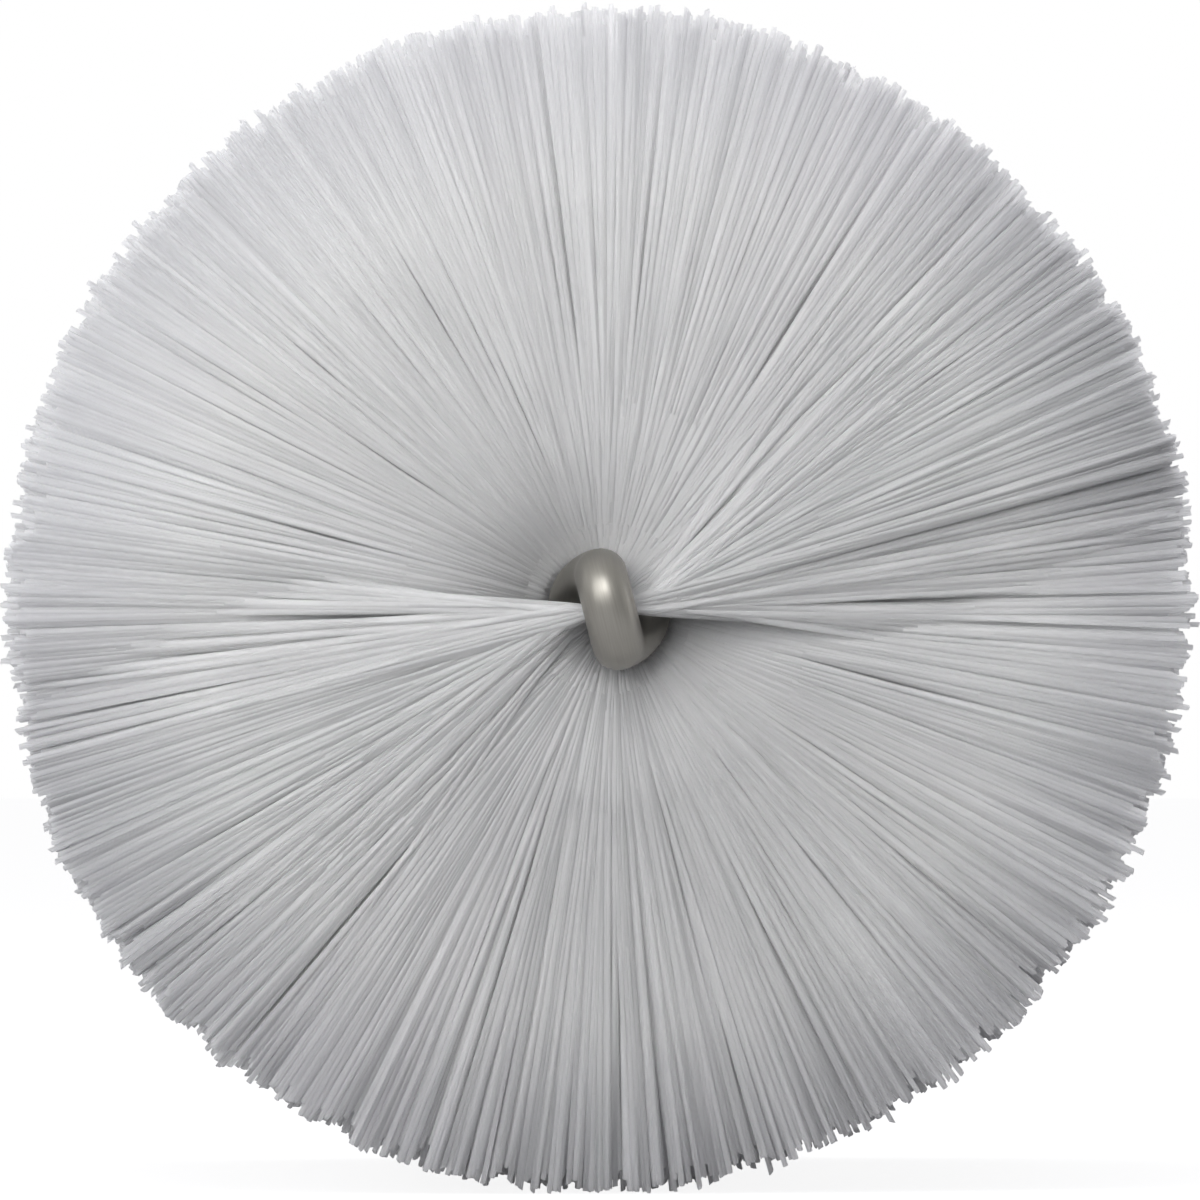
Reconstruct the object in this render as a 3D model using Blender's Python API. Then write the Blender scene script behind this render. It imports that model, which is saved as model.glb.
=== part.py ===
"""Twisted wire tube brush, 90 mm across, whose coupling screws into a flexible rod.

The brush lies on its bristles with its axis along Y, its wire loop towards -Y and its
coupling towards +Y. Lengths are in metres and +Z is up. The origin is on the surface
that the brush lies on, under the middle of its length.

Angles round the axis are seen from the loop, looking along +Y: they start at +X and
grow anticlockwise, towards +Z.
"""

import math

import bmesh
import bpy
import numpy as np
from mathutils import Vector

# Whole brush
BRUSH_DIAMETER = 0.090
RESTING_FLAT = 0.0005  # how far the lowest bristles are flattened by what they lie on
CLEARANCE = 0.0003  # gap between pieces that touch

# Core wire, one wire folded in half whose legs are twisted to the left
WIRE_DIAMETER = 0.004
TWIST_PITCH = 0.024
TWIST_RUN_IN = 0.004  # length behind the loop over which the twist sets in
LOOP_ANGLE = math.radians(104)  # where the loop's upper leg stands
RINGS_PER_TURN = 12
LOOP_STEPS = 8

# Bristles, a layer gripped between the legs whose ends stand out on both sides
BRISTLE_LENGTH = 0.144
FILL_THICKNESS = 0.0008
FILL_PROUD = 0.0012  # how far the packed layer reaches out past the wire's side
FILL_SETBACK = 0.0005  # from the end of the loop's bend to the first bristles
SECTIONS_PER_TURN = 4
STRANDS_PER_SECTION = 10  # on each of the two sides
ROOT_SHARE = 0.6  # of the spacing of the strands
TIP_WIDTH = 0.0020  # round the brush
TIP_DEPTH = 0.0016  # along the brush
TIP_LEAN = 0.0025  # how far a tip stands ahead of or behind its root
LEAN_STEPS_SHARE = (-1, 0, 1)  # of the lean, for each strand and the ones after it
TIP_SWAY_SHARE = 1.0  # of the angle between strands, over which their tips stray

# Coupling, turned from hexagon bar, crimped on the stem and threaded for the rod
STEM_LENGTH = 0.018  # bare twisted wire between the bristles and the coupling
SLEEVE_LENGTH = 0.022
SLEEVE_WALL = 0.002
SOCKET_FLOOR = 0.002  # solid metal between the socket and the hexagon
CRIMP_COUNT = 2
CRIMP_LENGTH = 0.0065
CRIMP_DEPTH = 0.0006
CRIMP_BEVEL = 0.0008
HEXAGON_WIDTH = 0.017  # across its flats
HEXAGON_LENGTH = 0.008
HEXAGON_BEVEL = 0.0008
THREAD_DIAMETER = 0.012
THREAD_PITCH = 0.00175
THREAD_DEPTH = 0.0011
THREAD_LENGTH = 0.014
THREAD_ROOT_SHARE = 0.25  # of the pitch, as the two below
THREAD_CREST_SHARE = 0.125
THREAD_FADE_SHARE = 0.75
ROWS_PER_THREAD = 4
RELIEF_LENGTH = 0.0025  # plain neck between the hexagon and the thread
EDGE_BEVEL = 0.0006
ROUND_STEPS = 24
SHARP_ANGLE = math.radians(35)
GOLDEN_SHARE = (3 - math.sqrt(5)) / 2

# What follows from the sizes above
BRUSH_RADIUS = BRUSH_DIAMETER / 2
WIRE_RADIUS = WIRE_DIAMETER / 2
AXIS_HEIGHT = BRUSH_RADIUS - RESTING_FLAT
LEG_OFFSET = FILL_THICKNESS / 2 + CLEARANCE + WIRE_RADIUS
LOOP_LENGTH = LEG_OFFSET + WIRE_RADIUS
SECTION_COUNT = round(BRISTLE_LENGTH / TWIST_PITCH * SECTIONS_PER_TURN)
SECTION_LENGTH = BRISTLE_LENGTH / SECTION_COUNT
FILL_HALF_WIDTH = WIRE_RADIUS + FILL_PROUD
SOCKET_RADIUS = LEG_OFFSET + WIRE_RADIUS + CLEARANCE
SLEEVE_RADIUS = SOCKET_RADIUS + SLEEVE_WALL
COUPLING_LENGTH = SLEEVE_LENGTH + HEXAGON_LENGTH + RELIEF_LENGTH + THREAD_LENGTH
TOTAL_LENGTH = LOOP_LENGTH + FILL_SETBACK + BRISTLE_LENGTH + STEM_LENGTH + COUPLING_LENGTH

BEND_Y = LOOP_LENGTH - TOTAL_LENGTH / 2
BRISTLES_Y = BEND_Y + FILL_SETBACK
SLEEVE_Y = BRISTLES_Y + BRISTLE_LENGTH + STEM_LENGTH
HEXAGON_Y = SLEEVE_Y + SLEEVE_LENGTH
SHOULDER_Y = HEXAGON_Y + HEXAGON_LENGTH
THREAD_Y = SHOULDER_Y + RELIEF_LENGTH
SOCKET_FLOOR_Y = HEXAGON_Y - SOCKET_FLOOR
WIRE_END_Y = SOCKET_FLOOR_Y - CLEARANCE - WIRE_RADIUS  # its cut end is slanted by the twist


def clear_scene():
    for thing in list(bpy.data.objects):
        bpy.data.objects.remove(thing, do_unlink=True)


def principled(name, colour, roughness, metallic):
    material = bpy.data.materials.new(name)
    material.use_nodes = True
    shader = material.node_tree.nodes["Principled BSDF"]
    shader.inputs["Base Color"].default_value = (*colour, 1)
    shader.inputs["Roughness"].default_value = roughness
    shader.inputs["Metallic"].default_value = metallic
    return material


def add_piece(name, data, material, parent):
    piece = bpy.data.objects.new(name, data)
    data.materials.append(material)
    piece.parent = parent
    bpy.context.scene.collection.objects.link(piece)
    return piece


def axis_empty():
    """The brush's axis, which carries every piece at the height that the bristles give it."""
    empty = bpy.data.objects.new("brush_axis", None)
    empty.location = (0, 0, AXIS_HEIGHT)
    bpy.context.scene.collection.objects.link(empty)
    return empty


def twist_angle(y):
    """Where the upper leg of the wire stands at y. The twist sets in along a parabola."""
    behind = y - BEND_Y
    if behind < TWIST_RUN_IN:
        run = max(behind, 0) ** 2 / (2 * TWIST_RUN_IN)
    else:
        run = behind - TWIST_RUN_IN / 2
    return LOOP_ANGLE + 2 * math.pi * run / TWIST_PITCH


def around(angle, radius, y):
    return Vector((radius * math.cos(angle), y, radius * math.sin(angle)))


def leg_points(end_y):
    """One leg's centre line from its cut end to the loop."""
    turns = (end_y - BEND_Y) / TWIST_PITCH
    steps = math.ceil(turns * RINGS_PER_TURN)
    ys = np.linspace(end_y, BEND_Y, steps + 1)
    return [around(twist_angle(y), LEG_OFFSET, y) for y in ys]


def loop_points():
    """The half circle in front of the legs, without its two ends."""
    points = []
    for step in range(1, LOOP_STEPS):
        turn = math.pi * step / LOOP_STEPS
        y = BEND_Y - LEG_OFFSET * math.sin(turn)
        points.append(around(LOOP_ANGLE, LEG_OFFSET * math.cos(turn), y))
    return points


def opposite(point):
    return Vector((-point.x, point.y, -point.z))


def print_least_gap(leg):
    """The least gap between the two legs, which are each other's half turn."""
    here = np.array(leg)
    there = np.array([opposite(point) for point in leg])
    apart = np.linalg.norm(here[:, None] - there[None], axis=2)
    print(f"least gap of the wire to itself: {(apart.min() - WIRE_DIAMETER) * 1000:.2f} mm")


def make_wire(material, parent):
    """One unbroken wire: up one leg, round the loop and back along the other."""
    leg = leg_points(WIRE_END_Y)
    print_least_gap(leg)
    points = leg + loop_points() + [opposite(point) for point in reversed(leg)]
    curve = bpy.data.curves.new("twisted_wire", "CURVE")
    curve.dimensions = "3D"
    curve.bevel_depth = WIRE_RADIUS
    curve.bevel_resolution = 2
    curve.use_fill_caps = True
    spline = curve.splines.new("POLY")
    spline.points.add(len(points) - 1)
    for knot, point in zip(spline.points, points):
        knot.co = (*point, 1)
    return add_piece("twisted_wire", curve, material, parent)


def fill_corner(y, side, face):
    """A corner of the packed layer at y. side is +1 or -1 along the layer, face across it."""
    middle = twist_angle(y) - math.pi / 2
    along = around(middle, side * FILL_HALF_WIDTH, y)
    return along + around(middle + math.pi / 2, face * FILL_THICKNESS / 2, 0)


def section_stations(start, end):
    """The rows across a section: its two ends, and both edges of each strand's root."""
    spacing = (end - start) / STRANDS_PER_SECTION
    half_root = ROOT_SHARE * spacing / 2
    stations = [start]
    for strand in range(STRANDS_PER_SECTION):
        middle = start + (strand + 0.5) * spacing
        stations += [middle - half_root, middle + half_root]
    return stations + [end]


def cut_flat(root, tip):
    """The tip, drawn back along its own edge to the surface that the brush lies on."""
    if tip.z >= -AXIS_HEIGHT:
        return tip
    return root.lerp(tip, (-AXIS_HEIGHT - root.z) / (tip.z - root.z))


def tip_sway(number):
    """How far round the brush a tip strays from its root, spread by golden section steps."""
    step = (number * GOLDEN_SHARE) % 1 - 0.5
    between = 2 * math.pi / (SECTIONS_PER_TURN * STRANDS_PER_SECTION)
    return TIP_SWAY_SHARE * between * step


def tip_corners(y, side, number):
    """The four corners of a strand's end, in the order of its root's corners."""
    middle = twist_angle(y) - side * math.pi / 2 + tip_sway(number)
    lean = TIP_LEAN * LEAN_STEPS_SHARE[number % len(LEAN_STEPS_SHARE)]
    spread = TIP_WIDTH / 2 / BRUSH_RADIUS
    ends = []
    for along, across in ((-1, 1), (-1, -1), (1, -1), (1, 1)):
        place_y = y + lean + along * TIP_DEPTH / 2
        ends.append(around(middle + side * across * spread, BRUSH_RADIUS, place_y))
    return ends


def add_strand(mesh, root, y, side, number):
    """A four-sided strand that widens from its root on the layer's edge to its end."""
    places = tip_corners(y, side, number)
    tip = [mesh.verts.new(cut_flat(low.co, place)) for low, place in zip(root, places)]
    for here in range(4):
        there = (here + 1) % 4
        mesh.faces.new((root[here], root[there], tip[there], tip[here]))
    mesh.faces.new(tip)


def add_fill_rows(mesh, stations):
    """The corners of the packed layer at each station, by side and face."""
    rows = []
    for y in stations:
        places = {}
        for side in (-1, 1):
            for face in (-1, 1):
                places[side, face] = mesh.verts.new(fill_corner(y, side, face))
        rows.append(places)
    return rows


def add_fill_faces(mesh, low, high):
    """The two broad faces of the packed layer between two stations."""
    for face in (-1, 1):
        mesh.faces.new((low[-1, face], low[1, face], high[1, face], high[-1, face]))


def close_end(mesh, row):
    mesh.faces.new((row[-1, -1], row[1, -1], row[1, 1], row[-1, 1]))


def section_mesh(name, start, end, first_strand):
    """A length of the packed layer with the strands that stand out of both its edges."""
    mesh = bmesh.new()
    stations = section_stations(start, end)
    rows = add_fill_rows(mesh, stations)
    close_end(mesh, rows[0])
    close_end(mesh, rows[-1])
    for here in range(len(stations) - 1):
        low, high = rows[here], rows[here + 1]
        add_fill_faces(mesh, low, high)
        middle = (stations[here] + stations[here + 1]) / 2
        for side in (-1, 1):
            edge = (low[side, 1], low[side, -1], high[side, -1], high[side, 1])
            if here % 2:
                add_strand(mesh, edge, middle, side, first_strand + here // 2)
            else:
                mesh.faces.new(edge)
    bmesh.ops.recalc_face_normals(mesh, faces=mesh.faces)
    data = bpy.data.meshes.new(name)
    mesh.to_mesh(data)
    mesh.free()
    return data


def make_bristles(material, parent):
    """The bristles in sections of a quarter turn, named by turn and quarter."""
    for section in range(SECTION_COUNT):
        turn, quarter = divmod(section, SECTIONS_PER_TURN)
        name = f"bristle_turn_{turn + 1}_quarter_{quarter + 1}"
        start = BRISTLES_Y + section * SECTION_LENGTH
        gap = CLEARANCE / 2
        first = section * STRANDS_PER_SECTION
        data = section_mesh(name, start + gap, start + SECTION_LENGTH - gap, first)
        add_piece(name, data, material, parent)


def hexagon_radius(angles, half_width):
    """The distance to a hexagon's outline, whose corners are at whole sixths of a turn."""
    from_flat = np.mod(angles, math.pi / 3) - math.pi / 6
    return half_width / np.cos(from_flat)


def thread_radius(angles, y):
    """A right-hand thread's surface, which fades out towards both of its ends."""
    turned = np.mod((y - THREAD_Y) / THREAD_PITCH + angles / (2 * math.pi), 1)
    height = 1 - np.abs(2 * turned - 1)
    flank = 1 - THREAD_ROOT_SHARE - THREAD_CREST_SHARE
    tooth = np.clip((height - THREAD_ROOT_SHARE) / flank, 0, 1)
    from_end = min(y - THREAD_Y, THREAD_Y + THREAD_LENGTH - y)
    fade = min(from_end / (THREAD_FADE_SHARE * THREAD_PITCH), 1)
    return THREAD_DIAMETER / 2 - THREAD_DEPTH * (1 - tooth * fade)


def sleeve_rows(angles):
    """Socket floor, socket mouth and the sleeve's outside with its crimped bands."""
    round_sleeve = np.full_like(angles, SLEEVE_RADIUS)
    socket = np.full_like(angles, SOCKET_RADIUS)
    pressed = np.minimum(round_sleeve, hexagon_radius(angles, SLEEVE_RADIUS - CRIMP_DEPTH))
    rows = [
        (SOCKET_FLOOR_Y, socket),
        (SLEEVE_Y, socket),
        (SLEEVE_Y, round_sleeve - EDGE_BEVEL),
        (SLEEVE_Y + EDGE_BEVEL, round_sleeve),
    ]
    spacing = SLEEVE_LENGTH / CRIMP_COUNT
    for crimp in range(CRIMP_COUNT):
        start = SLEEVE_Y + (crimp + 0.5) * spacing - CRIMP_LENGTH / 2
        end = start + CRIMP_LENGTH
        rows += [
            (start, round_sleeve),
            (start + CRIMP_BEVEL, pressed),
            (end - CRIMP_BEVEL, pressed),
            (end, round_sleeve),
        ]
    rows.append((HEXAGON_Y, round_sleeve))
    return rows


def hexagon_rows(angles):
    outline = hexagon_radius(angles, HEXAGON_WIDTH / 2)
    face = np.full_like(angles, HEXAGON_WIDTH / 2 - EDGE_BEVEL)
    return [
        (HEXAGON_Y, face),
        (HEXAGON_Y + HEXAGON_BEVEL, outline),
        (SHOULDER_Y - HEXAGON_BEVEL, outline),
        (SHOULDER_Y, face),
    ]


def thread_rows(angles):
    neck = np.full_like(angles, THREAD_DIAMETER / 2 - THREAD_DEPTH)
    rows = [(SHOULDER_Y, neck)]
    count = round(THREAD_LENGTH / THREAD_PITCH * ROWS_PER_THREAD)
    for row in range(count + 1):
        y = THREAD_Y + THREAD_LENGTH * row / count
        rows.append((y, thread_radius(angles, y)))
    return rows


def add_ring(mesh, angles, y, radii):
    return [mesh.verts.new(around(angle, radius, y)) for angle, radius in zip(angles, radii)]


def make_coupling(material, parent):
    """Rings from the socket's floor out over the sleeve and hexagon to the thread's end."""
    angles = np.arange(ROUND_STEPS) * (2 * math.pi / ROUND_STEPS)
    mesh = bmesh.new()
    rings = []
    for y, radii in sleeve_rows(angles) + hexagon_rows(angles) + thread_rows(angles):
        rings.append(add_ring(mesh, angles, y, radii))
    for low, high in zip(rings, rings[1:]):
        for here in range(ROUND_STEPS):
            there = (here + 1) % ROUND_STEPS
            mesh.faces.new((low[here], low[there], high[there], high[here]))
    mesh.faces.new(rings[0])
    mesh.faces.new(rings[-1])
    bmesh.ops.recalc_face_normals(mesh, faces=mesh.faces)
    data = bpy.data.meshes.new("coupling")
    mesh.to_mesh(data)
    mesh.free()
    data.shade_smooth()
    data.set_sharp_from_angle(angle=SHARP_ANGLE)
    return add_piece("coupling", data, material, parent)


def main():
    clear_scene()
    axis = axis_empty()
    wire_steel = principled("drawn_stainless_steel", (0.42, 0.41, 0.38), 0.32, 1)
    turned_steel = principled("turned_stainless_steel", (0.50, 0.49, 0.47), 0.25, 1)
    polyester = principled("polyester_filament", (0.78, 0.78, 0.80), 0.35, 0)
    make_wire(wire_steel, axis)
    make_bristles(polyester, axis)
    make_coupling(turned_steel, axis)


main()
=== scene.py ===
"""Studio dressing of a 90 mm tube brush head made of twisted wire.

The brush lies on its bristles with its axis along Y and its wire loop towards the camera.
Lengths are in metres and +Z is up. Angles round the axis are seen from the loop, looking
along +Y: they start at +X and grow anticlockwise, towards +Z.
"""

import math

import bpy
import numpy as np
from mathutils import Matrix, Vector


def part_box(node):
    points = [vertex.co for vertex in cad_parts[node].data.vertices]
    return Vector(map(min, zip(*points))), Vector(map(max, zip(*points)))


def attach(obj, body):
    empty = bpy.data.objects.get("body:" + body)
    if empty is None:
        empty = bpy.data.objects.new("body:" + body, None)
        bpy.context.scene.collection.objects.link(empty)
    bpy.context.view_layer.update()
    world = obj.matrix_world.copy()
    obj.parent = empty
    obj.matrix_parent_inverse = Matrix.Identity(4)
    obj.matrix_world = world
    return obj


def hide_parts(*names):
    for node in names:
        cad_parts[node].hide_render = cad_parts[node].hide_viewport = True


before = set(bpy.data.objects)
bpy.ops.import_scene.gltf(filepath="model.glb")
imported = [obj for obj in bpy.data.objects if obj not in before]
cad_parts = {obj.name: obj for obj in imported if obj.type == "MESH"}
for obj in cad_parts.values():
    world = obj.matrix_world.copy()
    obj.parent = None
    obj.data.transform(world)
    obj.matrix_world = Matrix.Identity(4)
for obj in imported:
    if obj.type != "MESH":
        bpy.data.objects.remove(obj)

MM = 0.001
TURN = 2 * math.pi

# Core wire and its twist, as in the solids
WIRE_RADIUS = 2.0 * MM
LEG_OFFSET = 2.7 * MM
TWIST_PITCH = 24 * MM
TWIST_RUN_IN = 4 * MM
LOOP_ANGLE = math.radians(104)
WIRE_CREASE = math.radians(60)

# Bristles: the fill that the legs grip
FILL_SETBACK = 0.5 * MM  # behind the loop's bend
FILL_HALF_WIDTH = 3.2 * MM
LAYER_THICKNESS = 2 * (LEG_OFFSET - WIRE_RADIUS)
BRISTLE_LENGTH = 144 * MM
SECTIONS_PER_TURN = 4

# Bristles: a filament
FILAMENTS_PER_SECTION = 330
FILAMENT_RADIUS = 0.22 * MM
RADIUS_SHARES = 0.92, 1.12  # the least and the most of it that one has
FILAMENT_SIDES = 5
FILAMENT_CREASE = math.radians(80)
WAY_SHARES = 0, 0.08, 0.3, 0.65, 1  # of the way from root to tip, where its rings stand
CUT_SLOPE = 0.9  # of the steepest cut end

# Bristles: how they stand
UNEVEN_SHARE = 0.15  # of the spacing between filaments, over which their roots stray
STRAY_TURN = math.radians(0.06)  # spread of how far tips stray round the brush
STRAY_REACH = 0.07 * MM  # how far tips stand ahead of or behind their roots
BACK_SHARE = 0.15  # of the filaments lean back into the room behind their own layer
BACK_REACH = 2.5 * MM
SPLAY_SHARE = 0.97  # of the room in front of the first half turns, which their tips take up
SPLAY_CURVE = 0.14  # the power of the way along that they do it by, so mostly near the wire
LEAN = 6.0 * MM  # how far the first tips lean back, which makes a shallow cone of the front
LEAN_MORE = 1.0  # times as much besides on the side that the brush has lain on
LEAN_SIDE = math.radians(295)
LEAN_LENGTH = 40 * MM  # over which the lean dies away
BOW = 0.03 * MM  # spread of how far the middle of a filament stands aside

# Bristles: the trimmed rim
TRIM_RADIUS = 44.75 * MM
TRIM_CENTRE = (-0.85 * MM, 0.6 * MM)  # the rim isn't quite round the wire
TRIM_SHORT = 1.0 * MM  # spread of the filaments that fall short of the trim
TRIM_LONG = 0.35 * MM  # and of those that stand past it
TRIM_LIMITS = -3 * MM, MM  # the most that any does so
LONG_SHARE = 0.34  # of the filaments stand past it
TUFTS = 200  # places round the rim between which the filaments' ends draw together
TUFT_REACH = 0.22 * MM  # how far tufts stand out or fall short
TUFT_TURN = math.radians(0.03)  # how far their filaments draw together

# Bristles: the front fan behind the loop, whose bend pushes it round
FRONT_FILAMENTS = 210
FRONT_TURN = math.radians(-14)  # the most that they are pushed round
FRONT_FAN = math.radians(-8), math.radians(26)  # how far the tips at both edges fan out
FRONT_STRAY = math.radians(0.8)  # and how far they stray from that
FRONT_LENGTH = 2.4 * MM  # of the fill that they stand in
FRONT_BACK = 2.5 * MM  # how far the ones that are pushed the most lean back

# Seeds of the random draws
SECTION_SEED = 11
TUFT_TURN_SEED = 5
TUFT_REACH_SEED = 6

# Coupling, as in the solids
SLEEVE_RADIUS = 7.0 * MM
SOCKET_RADIUS = 5.0 * MM
SLEEVE_LENGTH = 22 * MM
SOCKET_FLOOR = 2.0 * MM
CRIMP_LENGTH = 6.5 * MM
CRIMP_COUNT = 2
CRIMP_DEPTH = 0.6 * MM
CRIMP_BEVEL = 0.8 * MM
HEXAGON_WIDTH = 17 * MM
HEXAGON_LENGTH = 8 * MM
CHAMFER_LENGTH = 1.2 * MM
THREAD_RADIUS = 6.0 * MM
THREAD_PITCH = 1.75 * MM
THREAD_DEPTH = 1.1 * MM
THREAD_LENGTH = 14 * MM
THREAD_FADE = 0.75 * THREAD_PITCH
ROOT_SHARE = 0.25  # of the pitch is the flat at the bottom of the groove
CREST_SHARE = 0.125
RELIEF_LENGTH = 2.5 * MM
EDGE_BEVEL = 0.6 * MM
COUPLING_CREASE = math.radians(30)
FLAT_TOLERANCE = 0.01 * MM  # how near to the hexagon's outline skin counts as its flat

# Finishes
# Painted shade: filaments get darker towards the rim, for the dark edges of their cut ends.
RIM_SHADE_RADII = 32 * MM, 45.6 * MM  # from the axis, over which filaments get duller
LIGHT_THROUGH = 0.85  # share of the light on a filament that goes into it
MARKS_PER_MM = (9, 0.35, 1)  # round the wire and along it

# Stage
FLOOR_HALF = 3.0
PAPER_GLOW = 0.88  # of the floor to the camera
GLOW_TO_METAL = 0.35
BACKDROP_RANGE = -0.1, 0.6  # share of a direction that points backwards, from grey to white
CEILING_RANGE = -0.3, 0.7  # and upwards, from dark to pale
WHITE = (1, 1, 1, 1)

# Camera
CAMERA_DISTANCE = 2.4
CAMERA_AZIMUTH = math.radians(-0.15)
CAMERA_ELEVATION = math.radians(0.2)
CAMERA_CLIP = 0.05, 30
FILM_WIDTH = 36  # in millimetres, as the lens is
PICTURE_HALF = 45.45 * MM  # what half of the picture's width shows at the brush
PICTURE_SIDE = 1200
RIM_PIXEL = (598.3, 601.3)  # the middle of the rim

# Lamps: name, place, width, power in watts, and whether metal mirrors it
LAMPS = (
    ("near_lamp", (-0.12, -0.3, 0.1), 0.2, 0.3, False),
    ("front_softbox", (-0.2, -1.8, 0.15), 1.6, 19, False),
    ("left_softbox", (-0.8, -0.9, 0.75), 0.8, 4.5, True),
    ("high_softbox", (-0.15, -1.0, 0.95), 0.5, 5, True),
    ("top_softbox", (0.1, 0.25, 1.3), 1.0, 4, False),
    ("right_side_softbox", (1.2, 0.5, 0.45), 0.8, 5, True),
    ("left_side_softbox", (-1.2, 0.5, 0.45), 0.8, 5, True),
)

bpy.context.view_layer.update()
COUPLING_LOW, COUPLING_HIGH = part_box("coupling")
AXIS_HEIGHT = (COUPLING_LOW.z + COUPLING_HIGH.z) / 2
BEND_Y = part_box("twisted_wire")[0].y + LEG_OFFSET + WIRE_RADIUS
BRISTLES_Y = BEND_Y + FILL_SETBACK
WIRE_END_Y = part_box("twisted_wire")[1].y - WIRE_RADIUS / 2
SLEEVE_Y = COUPLING_LOW.y
HEXAGON_Y = SLEEVE_Y + SLEEVE_LENGTH
SHOULDER_Y = HEXAGON_Y + HEXAGON_LENGTH
THREAD_Y = SHOULDER_Y + RELIEF_LENGTH
THREAD_END_Y = THREAD_Y + THREAD_LENGTH


# Shared tools


def linear(code):
    """An sRGB hex colour as linear red, green, blue and alpha."""
    parts = [int(code[at:at + 2], 16) / 255 for at in (0, 2, 4)]
    return (*(p / 12.92 if p < 0.04045 else ((p + 0.055) / 1.055) ** 2.4 for p in parts), 1)


def add_node(tree, kind, inputs=None, **settings):
    """A node with its settings, and its inputs from values or from other nodes' outputs.

    Inputs go by their names, or by number where several of a node's inputs share a name.
    """
    made = tree.nodes.new(kind)
    for name, value in settings.items():
        setattr(made, name, value)
    for socket, value in (inputs or {}).items():
        if isinstance(value, bpy.types.NodeSocket):
            tree.links.new(value, made.inputs[socket])
        else:
            made.inputs[socket].default_value = value
    return made


def new_material(name):
    """A material without nodes, and its node tree."""
    material = bpy.data.materials.new(name)
    material.use_nodes = True
    material.node_tree.nodes.clear()
    return material, material.node_tree


def add_mesh(name, points, *faces):
    """A mesh from an array of points and arrays of faces, one array for each number of corners."""
    corners = np.concatenate([part.ravel() for part in faces])
    sizes = np.concatenate([np.full(len(part), part.shape[1]) for part in faces])
    mesh = bpy.data.meshes.new(name)
    mesh.vertices.add(len(points))
    mesh.vertices.foreach_set("co", points.astype(np.float32).ravel())
    mesh.loops.add(len(corners))
    mesh.loops.foreach_set("vertex_index", corners.astype(np.int32))
    mesh.polygons.add(len(sizes))
    mesh.polygons.foreach_set("loop_start", (np.cumsum(sizes) - sizes).astype(np.int32))
    mesh.update(calc_edges=True)
    mesh.shade_smooth()
    return mesh


def add_piece(name, mesh, material, slot, *nodes):
    """Puts a mesh in the scene as a piece that stands for CAD nodes, on the one body."""
    mesh.materials.append(material)
    piece = bpy.data.objects.new(name, mesh)
    bpy.context.scene.collection.objects.link(piece)
    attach(piece, "root")
    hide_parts(*nodes)


def around(angle, radius, y):
    """Points at an angle and a distance from the brush's axis: (r cos a, y, height + r sin a)."""
    x, z = radius * np.cos(angle), radius * np.sin(angle)
    return np.stack(np.broadcast_arrays(x, y, AXIS_HEIGHT + z), axis=-1)


def twist_angle(y):
    """Where the wire's upper leg stands: the loop's angle, then a parabola, then a steady twist."""
    behind = np.maximum(y - BEND_Y, 0)
    setting_in = behind ** 2 / (2 * TWIST_RUN_IN)
    run = np.where(behind < TWIST_RUN_IN, setting_in, behind - TWIST_RUN_IN / 2)
    return LOOP_ANGLE + TURN * run / TWIST_PITCH


def aside(angle):
    """The direction at a right angle to the spoke at an angle: (-sin a, 0, cos a)."""
    return np.stack((-np.sin(angle), np.zeros_like(angle), np.cos(angle)), axis=-1)


def unit(vectors):
    """Each vector over its own length: v / |v|."""
    return vectors / np.linalg.norm(vectors, axis=-1, keepdims=True)


def carried_rings(lines, radius, guide, sides):
    """Rings round centre lines: line + radius (cos t across + sin t up), t over a turn.

    Across is the guide direction with its share along the line taken out, and up is at a
    right angle to it and to the line.
    """
    along = unit(np.gradient(lines, axis=-2))
    across = unit(guide - (guide * along).sum(-1, keepdims=True) * along)
    up = np.cross(along, across)
    turn = np.arange(sides) * TURN / sides
    spoke = np.cos(turn)[:, None] * across[..., None, :] + np.sin(turn)[:, None] * up[..., None, :]
    return lines[..., None, :] + radius * spoke, along


def ring_faces(tubes, rings, sides):
    """Quads between neighbouring rings of each tube, and the faces that close its ends."""
    number = np.arange(tubes * rings * sides).reshape(tubes, rings, sides)
    low, high = number[:, :-1], number[:, 1:]
    beside = np.roll(number, -1, axis=2)
    quads = np.stack((low, beside[:, :-1], beside[:, 1:], high), axis=-1).reshape(-1, 4)
    return quads, np.concatenate((number[:, 0, ::-1], number[:, -1]))


# Filaments


def trimmed_length(angle, radius):
    """The distance from the axis, at an angle, to a circle of a radius round the trim's centre.

    It solves |d u - c| = r for d, u being the angle's direction and c the circle's centre,
    and stops at the surface that the brush lies on.
    """
    across, up = TRIM_CENTRE
    toward = across * np.cos(angle) + up * np.sin(angle)
    away = toward + np.sqrt(radius ** 2 - across ** 2 - up ** 2 + toward ** 2)
    downwards = np.maximum(-np.sin(angle), 0.1)  # 0.1 for all that end well above the floor
    return np.minimum(away, (AXIS_HEIGHT - FILAMENT_RADIUS) / downwards)


def tufted(angle, seed):
    """A value for each angle: straight lines between random ones at even places round the rim.

    The random ones have a spread of 1 and are held within twice that.
    """
    heights = np.random.default_rng(seed).normal(0, 1, TUFTS).clip(-2, 2)
    return np.interp(angle, np.arange(TUFTS) * TURN / TUFTS, heights, period=TURN)


def past_trim(chance, angle):
    """How far each filament stands past the trim or falls short of it, with its tuft's share."""
    uneven = np.abs(chance.normal(0, 1, len(angle)))
    long = chance.uniform(0, 1, len(angle)) < LONG_SHARE
    cut = np.where(long, TRIM_LONG * uneven, -TRIM_SHORT * uneven)
    cut += TUFT_REACH * tufted(angle, TUFT_REACH_SEED)
    return cut.clip(*TRIM_LIMITS)


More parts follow.
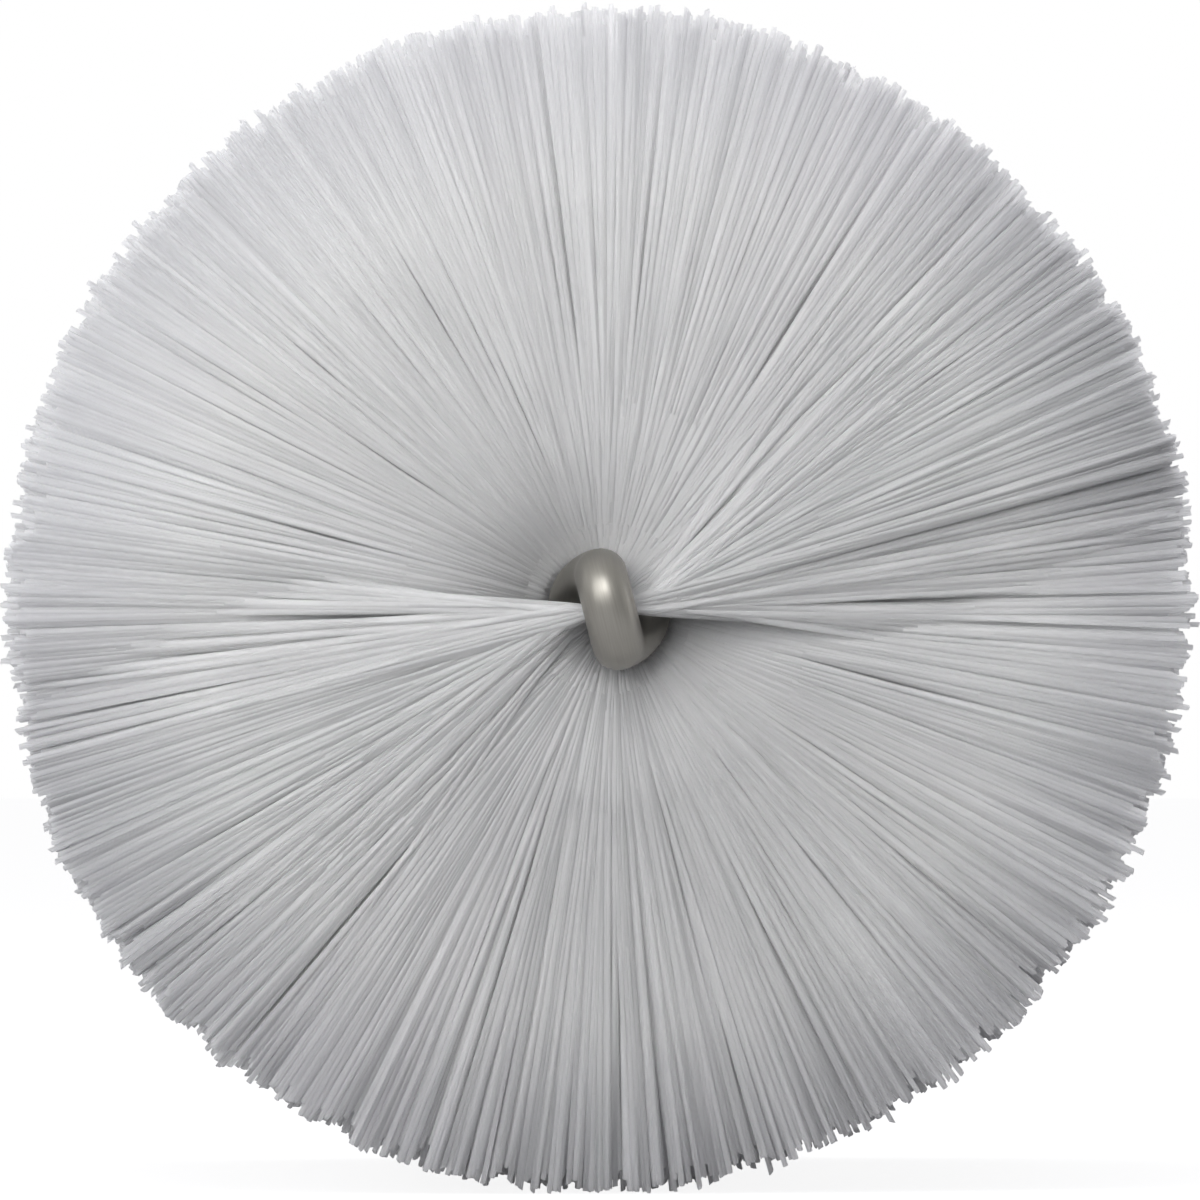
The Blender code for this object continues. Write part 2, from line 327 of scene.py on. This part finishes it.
def leaned_back(chance, angle, clamp_y, pushed):
    """Where each tip stands along the brush: y of its root, and behind that what it leans back.

    The front leans by exp(-depth / length), times 1 + cos^2 on the side that it has lain on,
    and the filaments of its fan by the square of the share that they are pushed. A few others
    stray back at random.
    """
    stray = BACK_REACH * np.abs(chance.normal(0, 1, len(angle)))
    stray *= chance.uniform(0, 1, len(angle)) < BACK_SHARE
    lying = 1 + LEAN_MORE * np.maximum(np.cos(angle - LEAN_SIDE), 0) ** 2
    dying = np.exp(-(clamp_y - BRISTLES_Y) / LEAN_LENGTH)
    return clamp_y + stray + (LEAN * lying * dying + FRONT_BACK * (pushed / FRONT_TURN) ** 2)


def splayed_forward(depth):
    """How far tips reach forward: a tent over the first turn, up over half of it and down again.

    The first half turn has nothing in front of it, and the next one ever less room.
    """
    half_turn = TWIST_PITCH / 2
    return SPLAY_SHARE * np.maximum(half_turn - np.abs(half_turn - depth), 0)


def filament_side(chance, clamp_y, layer, pushed, fanned, side):
    """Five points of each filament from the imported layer's edge to its cut tip.

    The root is on the layer's edge at the web's angle and the angle that it is pushed by. The
    tip fans out from there, and tufts of tips draw together. The line between them bows by a
    parabola, 4 s (1 - s), and splays forward by a power of s, the share of the way to the tip.
    """
    count = len(clamp_y)
    web = twist_angle(clamp_y) + (side - 0.5) * math.pi
    stray = chance.normal(0, STRAY_TURN, count).clip(-2 * STRAY_TURN, 2 * STRAY_TURN)
    angle = web + pushed + fanned + stray
    angle += TUFT_TURN * tufted(angle, TUFT_TURN_SEED)
    root = around(web + pushed, FILL_HALF_WIDTH, clamp_y) + layer * aside(web)
    length = trimmed_length(angle, TRIM_RADIUS + past_trim(chance, angle))
    tip_y = leaned_back(chance, angle, clamp_y, pushed) + chance.normal(0, STRAY_REACH, count)
    tip = around(angle, length, tip_y)
    share = np.array(WAY_SHARES)[:, None]
    bow = chance.normal(0, BOW, (count, 1, 1)) * (4 * share * (1 - share))
    splay = splayed_forward(clamp_y - BRISTLES_Y)[:, None, None]
    forward = -share ** SPLAY_CURVE * splay * np.array([0.0, 1.0, 0.0])
    return root[:, None] + share * (tip - root)[:, None] + bow * aside(angle)[:, None] + forward


def slant_ends(rings, along, chance):
    """Tilts each cut end: its ring moves along the filament by a slope times its place across."""
    tubes, _, sides, _ = rings.shape
    turn = np.arange(sides) * TURN / sides
    for end in (0, -1):
        phase = chance.uniform(0, TURN, (tubes, 1))
        slope = chance.uniform(0, CUT_SLOPE, (tubes, 1))
        shift = FILAMENT_RADIUS * slope * np.cos(turn + phase)
        rings[:, end] += shift[..., None] * along[:, end, None]


def front_fan(chance):
    """More filaments behind the loop: where they are gripped, pushed round and fanned out.

    Across the fan, the push goes from the most to none, and the tips from one edge to the other.
    """
    across = chance.uniform(0, 1, FRONT_FILAMENTS)
    clamp_y = BRISTLES_Y + FRONT_LENGTH * np.linspace(0, 1, FRONT_FILAMENTS)
    pushed = FRONT_TURN * (1 - across)
    stray = chance.normal(0, FRONT_STRAY, FRONT_FILAMENTS)
    return np.stack((clamp_y, pushed, np.interp(across, (0, 1), FRONT_FAN) + stray))


def make_section(material, turn, quarter):
    """A quarter turn of filaments, each one swept tube from tip to tip through the layer."""
    section = turn * SECTIONS_PER_TURN + quarter
    chance = np.random.default_rng(section + SECTION_SEED)
    uneven = UNEVEN_SHARE * chance.uniform(-0.5, 0.5, FILAMENTS_PER_SECTION)
    place = (np.arange(FILAMENTS_PER_SECTION) + 0.5 + uneven) / FILAMENTS_PER_SECTION
    clamp_y = BRISTLES_Y + (section + place) * (TWIST_PITCH / SECTIONS_PER_TURN)
    straight = np.zeros_like(clamp_y)
    laid = np.stack((clamp_y, straight, straight))
    if section == 0:
        laid = np.append(laid, front_fan(chance), axis=1)
    clamp_y, pushed, fanned = laid
    count = len(clamp_y)
    layer = chance.uniform(-0.5, 0.5, (count, 1)) * (LAYER_THICKNESS - 2 * FILAMENT_RADIUS)
    one, other = (filament_side(chance, clamp_y, layer, pushed, fanned, side) for side in (0, 1))
    lines = np.concatenate((one[:, ::-1], other), axis=1)
    radius = FILAMENT_RADIUS * chance.uniform(*RADIUS_SHARES, (count, 1, 1, 1))
    rings, along = carried_rings(lines, radius, np.array([0.0, 1.0, 0.0]), FILAMENT_SIDES)
    slant_ends(rings, along, chance)
    faces = ring_faces(count, lines.shape[1], FILAMENT_SIDES)
    name = f"bristle_turn_{turn + 1}_quarter_{quarter + 1}"
    mesh = add_mesh(f"filaments_{turn + 1}_{quarter + 1}", rings.reshape(-1, 3), *faces)
    mesh.set_sharp_from_angle(angle=FILAMENT_CREASE)
    tone = np.repeat(chance.uniform(0, 1, count), rings.shape[1] * rings.shape[2])
    mesh.attributes.new("tone", "FLOAT", "POINT").data.foreach_set("value", tone.astype(np.float32))
    add_piece(mesh.name, mesh, material, "filament", name)


# Core wire


def wire_line(rings_per_turn=40, loop_steps=24):
    """The wire's centre line: up one leg, round the loop's half circle, back along the other."""
    steps = math.ceil((WIRE_END_Y - BEND_Y) / TWIST_PITCH * rings_per_turn)
    y = np.linspace(WIRE_END_Y, BEND_Y, steps)
    leg = around(twist_angle(y), LEG_OFFSET, y)
    bend = np.linspace(0, math.pi, loop_steps + 1)[1:-1]
    loop = around(LOOP_ANGLE, LEG_OFFSET * np.cos(bend), BEND_Y - LEG_OFFSET * np.sin(bend))
    back = around(twist_angle(y) + math.pi, LEG_OFFSET, y)[::-1]
    return np.concatenate((leg, loop, back))


def make_wire(material, sides=28):
    """One unbroken round wire carried along its centre line, which guides it by the line's own
    distance from the brush's axis and, in the loop, from the middle of the bend."""
    line = wire_line()
    middle = np.zeros_like(line)
    middle[:, 1] = np.maximum(line[:, 1], BEND_Y)
    middle[:, 2] = AXIS_HEIGHT
    rings, _ = carried_rings(line[None], WIRE_RADIUS, (line - middle)[None], sides)
    mesh = add_mesh("core_wire", rings.reshape(-1, 3), *ring_faces(1, len(line), sides))
    mesh.set_sharp_from_angle(angle=WIRE_CREASE)
    travelled = np.concatenate(([0], np.cumsum(np.linalg.norm(np.diff(line, axis=0), axis=1))))
    add_wrap(mesh, travelled / MM, sides, WIRE_RADIUS / MM)
    add_piece("core_wire", mesh, material, "wire", "twisted_wire")


def add_wrap(mesh, travelled, sides, radius):
    """A UV map in millimetres: u round the wire's skin and v along it. Ends take v alone."""
    corner = np.empty(len(mesh.loops), np.int32)
    mesh.loops.foreach_get("vertex_index", corner)
    ring, side = np.divmod(corner, sides)
    quads = (len(travelled) - 1) * sides
    side = side.astype(float)
    wrapped = side[:quads * 4].reshape(-1, 4)
    wrapped[(wrapped.max(1) - wrapped.min(1) > 1)[:, None] & (wrapped == 0)] = sides
    side[:quads * 4] = wrapped.ravel()
    uv = np.stack((side / sides * TURN * radius, travelled[ring]), axis=1)
    mesh.uv_layers.new(name="skin").data.foreach_set("uv", uv.astype(np.float32).ravel())


# Coupling


def smooth(share):
    """A step from 0 to 1 with level ends: 3 s^2 - 2 s^3."""
    held = np.clip(share, 0, 1)
    return held ** 2 * (3 - 2 * held)


def flats(angle, half_width):
    """The distance to a hexagon's outline: h / cos(a from the middle of the nearest side)."""
    return half_width / np.cos(np.mod(angle, TURN / 6) - TURN / 12)


def plain_rows(angle, *places):
    """Rows of one radius each, from pairs of y and radius."""
    y, radius = np.array(places).T
    return y, radius[:, None] * np.ones_like(angle)


def sleeve_rows(angle, rows=110):
    """The sleeve's outside: the lesser of its radius and a hexagon's, whose half width falls by
    the crimps' depth in each crimp's band, with a smooth step at its ends."""
    y = np.linspace(SLEEVE_Y + EDGE_BEVEL, HEXAGON_Y, rows)
    spacing = SLEEVE_LENGTH / CRIMP_COUNT
    from_middle = np.abs(np.mod(y - SLEEVE_Y, spacing) - spacing / 2)
    pressed = smooth((CRIMP_LENGTH / 2 - from_middle) / CRIMP_BEVEL)[:, None]
    return y, np.minimum(SLEEVE_RADIUS, flats(angle, SLEEVE_RADIUS - CRIMP_DEPTH * pressed))


def hexagon_rows(angle, chamfer_rows=13):
    """A hexagon whose corners are turned off at both ends: the lesser of its outline and a cone
    that widens by the root of 3 times the depth below the face."""
    chamfer = np.linspace(0, CHAMFER_LENGTH, chamfer_rows)
    y = np.concatenate((HEXAGON_Y + chamfer, SHOULDER_Y - chamfer[::-1]))
    depth = np.minimum(y - HEXAGON_Y, SHOULDER_Y - y)[:, None]
    cone = HEXAGON_WIDTH / 2 - EDGE_BEVEL + math.sqrt(3) * depth
    return y, np.minimum(flats(angle, HEXAGON_WIDTH / 2), cone)


def thread_rows(angle, rows_per_turn=14):
    """A right-hand thread: h = 1 - |2 s - 1| for s = y / pitch + a / turn, with its root and
    crest cut flat, faded in at the neck, and the lesser of it and a cone at its end."""
    y = np.linspace(THREAD_Y, THREAD_END_Y, round(THREAD_LENGTH / THREAD_PITCH * rows_per_turn) + 1)
    place = np.mod((y - THREAD_Y)[:, None] / THREAD_PITCH + angle / TURN, 1)
    height = 1 - np.abs(2 * place - 1)
    tooth = np.clip((height - ROOT_SHARE) / (1 - ROOT_SHARE - CREST_SHARE), 0, 1)
    tooth *= smooth((y - THREAD_Y) / THREAD_FADE)[:, None]
    cone = THREAD_RADIUS - THREAD_DEPTH + (THREAD_END_Y - y)[:, None]
    return y, np.minimum(THREAD_RADIUS - THREAD_DEPTH * (1 - tooth), cone)


def make_coupling(material, sides=144):
    """Rings round the axis from the socket's floor, out of its mouth and over the outside.

    They run clockwise, which turns the faces outwards. The attribute "turned" is 1 where the
    lathe cut the skin and 0 on the drawn bar's flats.
    """
    angle = -np.arange(sides) * TURN / sides
    neck = THREAD_RADIUS - THREAD_DEPTH
    mouth = plain_rows(angle, (HEXAGON_Y - SOCKET_FLOOR, SOCKET_RADIUS),
                       (SLEEVE_Y + EDGE_BEVEL / 2, SOCKET_RADIUS),
                       (SLEEVE_Y, SOCKET_RADIUS + EDGE_BEVEL / 2),
                       (SLEEVE_Y, SLEEVE_RADIUS - EDGE_BEVEL))
    relief = plain_rows(angle, (SHOULDER_Y, neck + EDGE_BEVEL / 2),
                        (SHOULDER_Y + EDGE_BEVEL / 2, neck))
    parts = mouth, sleeve_rows(angle), hexagon_rows(angle), relief, thread_rows(angle)
    y = np.concatenate([part[0] for part in parts])
    radius = np.concatenate([part[1] for part in parts])
    points = around(angle, radius, y[:, None])
    mesh = add_mesh("threaded_coupling", points.reshape(-1, 3), *ring_faces(1, len(y), sides))
    mesh.set_sharp_from_angle(angle=COUPLING_CREASE)
    on_flat = np.abs(radius - flats(angle, HEXAGON_WIDTH / 2)) < FLAT_TOLERANCE
    mesh.attributes.new("turned", "FLOAT", "POINT").data.foreach_set(
        "value", (1 - on_flat).astype(np.float32).ravel())
    add_piece("threaded_coupling", mesh, material, "coupling", "coupling")


# Materials


def axis_distance(tree):
    """The distance from the brush's axis, from a place whose y is taken out."""
    place = add_node(tree, "ShaderNodeTexCoord")
    across = add_node(tree, "ShaderNodeMapping", {0: place.outputs["Object"],
                      1: (0, 0, -AXIS_HEIGHT), 3: (1, 0, 1)})
    return add_node(tree, "ShaderNodeVectorMath", {0: across.outputs[0]}, operation="LENGTH")


def filament_material():
    """Extruded white polyester monofilament: milky, lets most of the light through, with a dull
    gloss. Each filament has its own tone, and painted shade makes it a little darker towards the
    rim, standing in for the dark edges that light draws at the cut ends."""
    material, tree = new_material("extruded_white_polyester")
    own = add_node(tree, "ShaderNodeAttribute", attribute_name="tone")
    body = add_node(tree, "ShaderNodeMix", {0: own.outputs["Fac"], 6: linear("f9f9f9"),
                    7: linear("fdfdfd")}, data_type="RGBA")
    radius = axis_distance(tree)
    # painted shade: darker towards the rim (f3f3f4), for the dark edges of the cut ends
    rim_shade = add_node(tree, "ShaderNodeMapRange", {0: radius.outputs["Value"], 1: RIM_SHADE_RADII[0],
                    2: RIM_SHADE_RADII[1], 3: 0, 4: 1})
    colour = add_node(tree, "ShaderNodeMix", {0: rim_shade.outputs[0], 6: body.outputs[2],
                      7: linear("f3f3f4")}, data_type="RGBA")
    skin = add_node(tree, "ShaderNodeBsdfPrincipled", {"Base Color": colour.outputs[2],
                    "Roughness": 0.35, "IOR": 1.5})
    inside = add_node(tree, "ShaderNodeBsdfTranslucent", {"Color": colour.outputs[2]})
    milky = add_node(tree, "ShaderNodeMixShader", {0: LIGHT_THROUGH, 1: skin.outputs[0],
                     2: inside.outputs[0]})
    add_node(tree, "ShaderNodeOutputMaterial", {0: milky.outputs[0]})
    return material


def wire_material():
    """Drawn stainless steel wire: a satin skin with fine marks along its length, each about
    0.1 mm wide and 3 mm long."""
    material, tree = new_material("drawn_stainless_steel")
    skin = add_node(tree, "ShaderNodeUVMap", uv_map="skin")
    long = add_node(tree, "ShaderNodeMapping", {0: skin.outputs[0], 3: MARKS_PER_MM})
    marks = add_node(tree, "ShaderNodeTexNoise", {0: long.outputs[0], 2: 1, 3: 3})
    colour = add_node(tree, "ShaderNodeMix", {0: marks.outputs[0], 6: linear("98958e"),
                      7: linear("b4b1aa")}, data_type="RGBA")
    rough = add_node(tree, "ShaderNodeMapRange", {0: marks.outputs[0], 1: 0.3, 2: 0.7,
                     3: 0.36, 4: 0.48})
    bump = add_node(tree, "ShaderNodeBump", {"Height": marks.outputs[0], "Strength": 0.25,
                    "Distance": 0.02 * MM})
    shader = add_node(tree, "ShaderNodeBsdfPrincipled", {"Base Color": colour.outputs[2],
                      "Metallic": 1.0, "Roughness": rough.outputs[0], "Normal": bump.outputs[0]})
    add_node(tree, "ShaderNodeOutputMaterial", {0: shader.outputs[0]})
    return material


def coupling_material():
    """Turned stainless steel: bright, with the lathe's fine rings, and plain on the bar's flats.

    The rings of a 0.1 mm feed are too fine to show, so they are drawn about 0.4 mm apart.
    """
    material, tree = new_material("turned_stainless_steel")
    place = add_node(tree, "ShaderNodeTexCoord")
    parts = add_node(tree, "ShaderNodeSeparateXYZ", {0: place.outputs["Object"]})
    radius = axis_distance(tree)
    course = add_node(tree, "ShaderNodeMath", {0: parts.outputs["Y"], 1: radius.outputs["Value"]},
                      operation="ADD")
    rings = add_node(tree, "ShaderNodeTexNoise", {"W": course.outputs[0], "Scale": 2500,
                     "Detail": 2}, noise_dimensions="1D")
    turned = add_node(tree, "ShaderNodeAttribute", attribute_name="turned")
    marks = add_node(tree, "ShaderNodeMix", {0: turned.outputs["Fac"], 2: 0.5,
                     3: rings.outputs[0]}, data_type="FLOAT")
    colour = add_node(tree, "ShaderNodeMix", {0: marks.outputs[0], 6: linear("a5a39e"),
                      7: linear("c8c6c1")}, data_type="RGBA")
    rough = add_node(tree, "ShaderNodeMapRange", {0: marks.outputs[0], 1: 0.3, 2: 0.7,
                     3: 0.24, 4: 0.36})
    shader = add_node(tree, "ShaderNodeBsdfPrincipled", {"Base Color": colour.outputs[2],
                      "Metallic": 1.0, "Roughness": rough.outputs[0]})
    add_node(tree, "ShaderNodeOutputMaterial", {0: shader.outputs[0]})
    return material


# Stage


def floor_material():
    """Matt grey paper that the camera sees as white, with the brush's shadow.

    Shiny metal sees it paler than it is too, but not white, as the photo's wire is dark below.
    Nothing is glass, and no glow goes to transmission rays: they would light the filaments.
    """
    material, tree = new_material("backdrop_paper")
    ray = add_node(tree, "ShaderNodeLightPath")
    seen = add_node(tree, "ShaderNodeMath", {0: ray.outputs["Is Camera Ray"], 1: PAPER_GLOW},
                    operation="MULTIPLY")
    glow = add_node(tree, "ShaderNodeMath", {0: ray.outputs["Is Glossy Ray"], 1: GLOW_TO_METAL,
                    2: seen.outputs[0]}, operation="MULTIPLY_ADD")
    light = add_node(tree, "ShaderNodeEmission", {"Strength": glow.outputs[0]})
    matt = add_node(tree, "ShaderNodeBsdfDiffuse", {"Color": linear("707072")})
    both = add_node(tree, "ShaderNodeAddShader", {0: light.outputs[0], 1: matt.outputs[0]})
    add_node(tree, "ShaderNodeOutputMaterial", {0: both.outputs[0]})
    return material


def make_floor():
    """A flat square that the brush lies on."""
    corners = np.array([(-1, -1, 0), (1, -1, 0), (1, 1, 0), (-1, 1, 0)])
    points = FLOOR_HALF * corners
    mesh = add_mesh("floor", points, np.array([[0, 1, 2, 3]]))
    mesh.materials.append(floor_material())
    floor = bpy.data.objects.new("floor", mesh)
    bpy.context.scene.collection.objects.link(floor)


def make_world():
    """White to the camera, and white behind the brush, as the backdrop is.

    In front of it the room is grey and paler above, to dull surfaces and to metal alike. Metal
    gets its own two greys, so that it keeps its looks when the light on the bristles changes.
    """
    world = bpy.data.worlds.new("studio")
    bpy.context.scene.world = world
    world.use_nodes = True
    tree = world.node_tree
    tree.nodes.clear()
    place = add_node(tree, "ShaderNodeTexCoord")
    parts = add_node(tree, "ShaderNodeSeparateXYZ", {0: place.outputs["Generated"]})
    behind = add_node(tree, "ShaderNodeMapRange", {0: parts.outputs["Y"],
                      1: BACKDROP_RANGE[0], 2: BACKDROP_RANGE[1], 3: 0, 4: 1})
    high = add_node(tree, "ShaderNodeMapRange", {0: parts.outputs["Z"],
                    1: CEILING_RANGE[0], 2: CEILING_RANGE[1], 3: 0, 4: 1})
    fill = add_node(tree, "ShaderNodeMix", {0: high.outputs[0], 6: linear("808084"),
                    7: linear("a8a8ac")}, data_type="RGBA")
    mirrored = add_node(tree, "ShaderNodeMix", {0: high.outputs[0], 6: linear("9c9c9c"),
                        7: linear("b4b4b4")}, data_type="RGBA")
    ray = add_node(tree, "ShaderNodeLightPath")
    room = add_node(tree, "ShaderNodeMix", {0: ray.outputs["Is Glossy Ray"], 6: fill.outputs[2],
                    7: mirrored.outputs[2]}, data_type="RGBA")
    lit = add_node(tree, "ShaderNodeMix", {0: behind.outputs[0], 6: room.outputs[2],
                   7: WHITE}, data_type="RGBA")
    seen = add_node(tree, "ShaderNodeMix", {0: ray.outputs["Is Camera Ray"], 6: lit.outputs[2],
                    7: WHITE}, data_type="RGBA")
    light = add_node(tree, "ShaderNodeBackground", {"Color": seen.outputs[2], "Strength": 1})
    add_node(tree, "ShaderNodeOutputWorld", {0: light.outputs[0]})


def aim(thing, target):
    """Turns a lamp or camera so that its -Z looks at a point."""
    away = thing.location - target
    thing.rotation_euler = away.to_track_quat("Z", "Y").to_euler()


def add_lamp(target, name, place, width, power, mirrored):
    """A square lamp aimed at a point, which the camera never sees.

    Metal doesn't mirror the lamps that stand where the photo's camera stood, as the photo's
    wire is dark there, nor the one above, which would draw a second highlight on the loop.
    """
    data = bpy.data.lights.new(name, "AREA")
    data.size, data.energy = width, power
    lamp = bpy.data.objects.new(name, data)
    lamp.location = place
    lamp.visible_camera = False
    lamp.visible_glossy = mirrored
    aim(lamp, target)
    bpy.context.scene.collection.objects.link(lamp)


def make_camera(target):
    """The camera looks along the brush's axis at its loop, from a little to the left and above.

    The shift puts the target where the photo has the middle of the rim.
    """
    data = bpy.data.cameras.new("camera")
    data.sensor_width = FILM_WIDTH
    data.lens = data.sensor_width / 2 / (PICTURE_HALF / CAMERA_DISTANCE)
    camera = bpy.data.objects.new("camera", data)
    level = math.cos(CAMERA_ELEVATION)
    back = Vector((math.sin(CAMERA_AZIMUTH) * level, -math.cos(CAMERA_AZIMUTH) * level,
                   math.sin(CAMERA_ELEVATION)))
    camera.location = target + CAMERA_DISTANCE * back
    aim(camera, target)
    data.shift_x = (PICTURE_SIDE / 2 - RIM_PIXEL[0]) / PICTURE_SIDE
    data.shift_y = (RIM_PIXEL[1] - PICTURE_SIDE / 2) / PICTURE_SIDE
    data.clip_start, data.clip_end = CAMERA_CLIP
    bpy.context.scene.collection.objects.link(camera)
    bpy.context.scene.camera = camera


def main():
    """Every piece, then the stage, the lamps and the camera."""
    polyester = filament_material()
    for turn in range(round(BRISTLE_LENGTH / TWIST_PITCH)):
        for quarter in range(SECTIONS_PER_TURN):
            make_section(polyester, turn, quarter)
    make_wire(wire_material())
    make_coupling(coupling_material())
    make_floor()
    make_world()
    rim_centre = Vector((TRIM_CENTRE[0], BRISTLES_Y, AXIS_HEIGHT + TRIM_CENTRE[1]))
    for lamp in LAMPS:
        add_lamp(rim_centre, *lamp)
    make_camera(rim_centre)
    bpy.context.scene.view_settings.view_transform = "Standard"


main()
